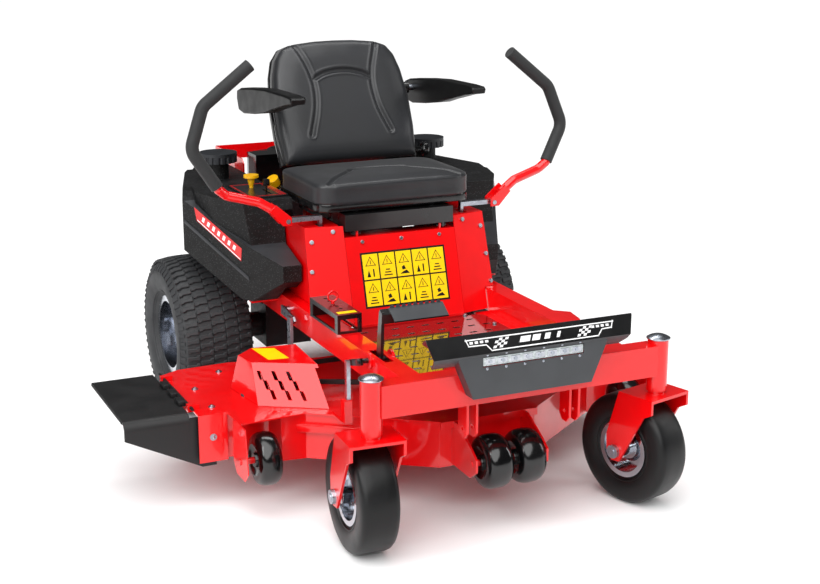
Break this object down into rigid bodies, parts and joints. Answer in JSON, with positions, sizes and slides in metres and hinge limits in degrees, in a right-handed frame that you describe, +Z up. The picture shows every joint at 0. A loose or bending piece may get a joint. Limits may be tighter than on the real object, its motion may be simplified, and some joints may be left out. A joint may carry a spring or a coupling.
{
  "type": "zero-turn riding lawn mower",
  "caption": "Zero-turn riding mower with red frame, black moulded fenders, high-back seat, lap-bar levers, full mowing deck with side chute and front casters.",
  "frame": {"origin": "on the ground, at the middle of the machine's bounding box in plan", "axes": "+Z up, -Y towards the front of the machine, +X towards the machine's left side"},
  "size_m": [1.418, 1.685, 1.0699],
  "materials": {
    "red_paint": "gloss powder coat",
    "black_paint": "satin powder coat",
    "dark_gloss": "gloss",
    "tyre": "matte",
    "rubber": "matte",
    "bright_rim": "bright",
    "steel": "bright zinc plate",
    "fender_plastic": "speckled, textured",
    "vinyl": "soft vinyl",
    "armrest_foam": "skinned foam",
    "grip_foam": "foam",
    "gloss_black": "gloss",
    "cap_plastic": "satin",
    "yellow_plastic": "gloss",
    "cast_engine": "cast",
    "cast_case": "cast",
    "lamp": "clear"
  },
  "bodies": {
    "chassis": {"battery": "gloss_black", "centre_panel": "red_paint", "control_panel": "black_paint", "drive_belt": "rubber", "engine_block": "cast_engine", "engine_guard": "black_paint", "engine_shroud": "gloss_black", "fender_left": "fender_plastic", "fender_right": "fender_plastic", "floor_pan": "dark_gloss", "frame_rail_left": "red_paint", "frame_rail_right": "red_paint", "front_beam": "red_paint", "front_plate": "black_paint", "height_selector": "black_paint", "light_bar": "lamp", "muffler": "black_paint", "panel_bolts": "steel", "rear_frame": "red_paint", "tower": "red_paint", "transaxles": "cast_case"},
    "drive_wheel_left": {"drive_tyre_left": "tyre", "drive_rim_left": "bright_rim"},
    "caster_fork_body_left": {"caster_fork_left": "red_paint"},
    "caster_wheel_left": {"caster_tyre_left": "tyre", "caster_rim_left": "bright_rim"},
    "control_arm_body_left": {"control_arm_left": "steel"},
    "hand_lever_left": {"lever_left": "red_paint", "grip_left": "grip_foam"},
    "armrest_body_left": {"armrest_left": "armrest_foam"},
    "fuel_cap_body_left": {"fuel_cap_left": "cap_plastic"},
    "gauge_wheel_body_left": {"gauge_wheel_left": "gloss_black"},
    "drive_wheel_right": {"drive_tyre_right": "tyre", "drive_rim_right": "bright_rim"},
    "caster_fork_body_right": {"caster_fork_right": "red_paint"},
    "caster_wheel_right": {"caster_tyre_right": "tyre", "caster_rim_right": "bright_rim"},
    "control_arm_body_right": {"control_arm_right": "steel"},
    "hand_lever_right": {"lever_right": "red_paint", "grip_right": "grip_foam"},
    "armrest_body_right": {"armrest_right": "armrest_foam"},
    "fuel_cap_body_right": {"fuel_cap_right": "cap_plastic"},
    "gauge_wheel_body_right": {"gauge_wheel_right": "gloss_black"},
    "seat_tray": {"seat_base": "black_paint"},
    "seat": {"seat_cushion": "vinyl"},
    "seat_back_body": {"seat_back": "vinyl"},
    "deck": {"deck_shell": "red_paint", "belt_covers": "red_paint", "deck_belt": "rubber"},
    "blade_body_centre": {"blade_centre": "steel"},
    "blade_body_left": {"blade_left": "steel"},
    "blade_body_right": {"blade_right": "steel"},
    "rollers": {"front_rollers": "gloss_black"},
    "chute": {"discharge_chute": "rubber"},
    "pedal": {"lift_pedal": "black_paint"},
    "lift_shaft_body": {"lift_shaft": "steel"},
    "height_pin": {"selector_pin": "red_paint"},
    "pto": {"pto_knob": "yellow_plastic"},
    "throttle": {"throttle_lever": "gloss_black"},
    "oil_cap": {"oil_fill_cap": "yellow_plastic"}
  },
  "joints": [
    {"name": "drive_wheel_left_turn", "type": "hinge", "parent": "chassis", "child": "drive_wheel_left", "pos_m": [0.54, 0.42555, 0.2286], "axis": [1, 0, 0], "continuous": true},
    {"name": "caster_left_swivel", "type": "hinge", "parent": "chassis", "child": "caster_fork_body_left", "pos_m": [0.494, -0.76545, 0.36], "axis": [0, 0, 1], "continuous": true},
    {"name": "caster_left_roll", "type": "hinge", "parent": "caster_fork_body_left", "child": "caster_wheel_left", "pos_m": [0.47671, -0.70072, 0.14], "axis": [0.9661, 0.258, 0], "continuous": true},
    {"name": "lever_left_push", "type": "hinge", "parent": "chassis", "child": "control_arm_body_left", "pos_m": [0.333, -0.02945, 0.585], "axis": [1, 0, 0], "range_deg": [-11, 11]},
    {"name": "lever_left_swing", "type": "hinge", "parent": "control_arm_body_left", "child": "hand_lever_left", "pos_m": [0.421, -0.02945, 0.64], "axis": [0, 1, 0], "range_deg": [-20, 0]},
    {"name": "armrest_left_lift", "type": "hinge", "parent": "seat_back_body", "child": "armrest_body_left", "pos_m": [0.357, 0.36355, 0.915], "axis": [1, 0, 0], "range_deg": [-85, 0]},
    {"name": "fuel_cap_left_turn", "type": "hinge", "parent": "chassis", "child": "fuel_cap_body_left", "pos_m": [0.449, 0.46055, 0.72], "axis": [0, 0, 1], "range_deg": [0, 270]},
    {"name": "gauge_wheel_left_roll", "type": "hinge", "parent": "deck", "child": "gauge_wheel_body_left", "pos_m": [0.629, -0.42445, 0.148], "axis": [1, 0, 0], "continuous": true},
    {"name": "drive_wheel_right_turn", "type": "hinge", "parent": "chassis", "child": "drive_wheel_right", "pos_m": [-0.306, 0.42555, 0.2286], "axis": [1, 0, 0], "continuous": true},
    {"name": "caster_right_swivel", "type": "hinge", "parent": "chassis", "child": "caster_fork_body_right", "pos_m": [-0.26, -0.76545, 0.36], "axis": [0, 0, 1], "continuous": true},
    {"name": "caster_right_roll", "type": "hinge", "parent": "caster_fork_body_right", "child": "caster_wheel_right", "pos_m": [-0.25645, -0.69854, 0.14], "axis": [0.9986, -0.053, 0], "continuous": true},
    {"name": "lever_right_push", "type": "hinge", "parent": "chassis", "child": "control_arm_body_right", "pos_m": [-0.099, -0.02945, 0.585], "axis": [1, 0, 0], "range_deg": [-11, 11]},
    {"name": "lever_right_swing", "type": "hinge", "parent": "control_arm_body_right", "child": "hand_lever_right", "pos_m": [-0.187, -0.02945, 0.64], "axis": [0, 1, 0], "range_deg": [0, 20]},
    {"name": "armrest_right_lift", "type": "hinge", "parent": "seat_back_body", "child": "armrest_body_right", "pos_m": [-0.123, 0.36355, 0.915], "axis": [1, 0, 0], "range_deg": [-85, 0]},
    {"name": "fuel_cap_right_turn", "type": "hinge", "parent": "chassis", "child": "fuel_cap_body_right", "pos_m": [-0.215, 0.46055, 0.72], "axis": [0, 0, 1], "range_deg": [0, 270]},
    {"name": "gauge_wheel_right_roll", "type": "hinge", "parent": "deck", "child": "gauge_wheel_body_right", "pos_m": [-0.395, -0.42445, 0.148], "axis": [1, 0, 0], "continuous": true},
    {"name": "seat_tilt", "type": "hinge", "parent": "chassis", "child": "seat_tray", "pos_m": [0.117, -0.07345, 0.598], "axis": [1, 0, 0], "range_deg": [0, 60]},
    {"name": "seat_adjust", "type": "slide", "parent": "seat_tray", "child": "seat", "axis": [0, 1, 0], "range_m": [-0.04, 0.02]},
    {"name": "back_recline", "type": "hinge", "parent": "seat", "child": "seat_back_body", "pos_m": [0.117, 0.27555, 0.69], "axis": [1, 0, 0], "range_deg": [-11, 3]},
    {"name": "deck_height", "type": "slide", "parent": "chassis", "child": "deck", "axis": [0, 0, 1], "range_m": [-0.06, 0]},
    {"name": "blade_centre_spin", "type": "hinge", "parent": "deck", "child": "blade_body_centre", "pos_m": [0.117, -0.37945, 0.2], "axis": [0, 0, 1], "continuous": true},
    {"name": "blade_left_spin", "type": "hinge", "parent": "deck", "child": "blade_body_left", "pos_m": [0.472, -0.19445, 0.2], "axis": [0, 0, 1], "continuous": true},
    {"name": "blade_right_spin", "type": "hinge", "parent": "deck", "child": "blade_body_right", "pos_m": [-0.238, -0.19445, 0.2], "axis": [0, 0, 1], "continuous": true},
    {"name": "front_rollers_roll", "type": "hinge", "parent": "deck", "child": "rollers", "pos_m": [0.117, -0.71145, 0.168], "axis": [1, 0, 0], "continuous": true},
    {"name": "chute_lift", "type": "hinge", "parent": "deck", "child": "chute", "pos_m": [-0.535, -0.14645, 0.252], "axis": [0, 1, 0], "range_deg": [0, 85]},
    {"name": "pedal_press", "type": "hinge", "parent": "chassis", "child": "pedal", "pos_m": [-0.163, -0.56745, 0.41], "axis": [1, 0, 0], "range_deg": [-40.5, 0]},
    {"name": "lift_shaft_turn", "type": "hinge", "parent": "chassis", "child": "lift_shaft_body", "pos_m": [0.117, -0.01445, 0.392], "axis": [1, 0, 0], "range_deg": [0, 41.5]},
    {"name": "height_pin_pull", "type": "slide", "parent": "chassis", "child": "height_pin", "axis": [0, 0, 1], "range_m": [0, 0.03]},
    {"name": "pto_pull", "type": "slide", "parent": "chassis", "child": "pto", "axis": [0, 0, 1], "range_m": [0, 0.02]},
    {"name": "throttle_slide", "type": "slide", "parent": "chassis", "child": "throttle", "axis": [0, 1, 0], "range_m": [-0.03, 0.03]},
    {"name": "oil_cap_turn", "type": "hinge", "parent": "chassis", "child": "oil_cap", "pos_m": [-0.097, 0.30555, 0.669], "axis": [-0.4383, -0.3023, 0.8464], "range_deg": [0, 90]}
  ],
  "couplings": [
    {"joint": "blade_left_spin", "follows": "blade_centre_spin", "ratio": 1},
    {"joint": "blade_right_spin", "follows": "blade_centre_spin", "ratio": 1},
    {"joint": "pedal_press", "follows": "deck_height", "rad_per_m": 11.64},
    {"joint": "lift_shaft_turn", "follows": "deck_height", "rad_per_m": -11.9}
  ]
}
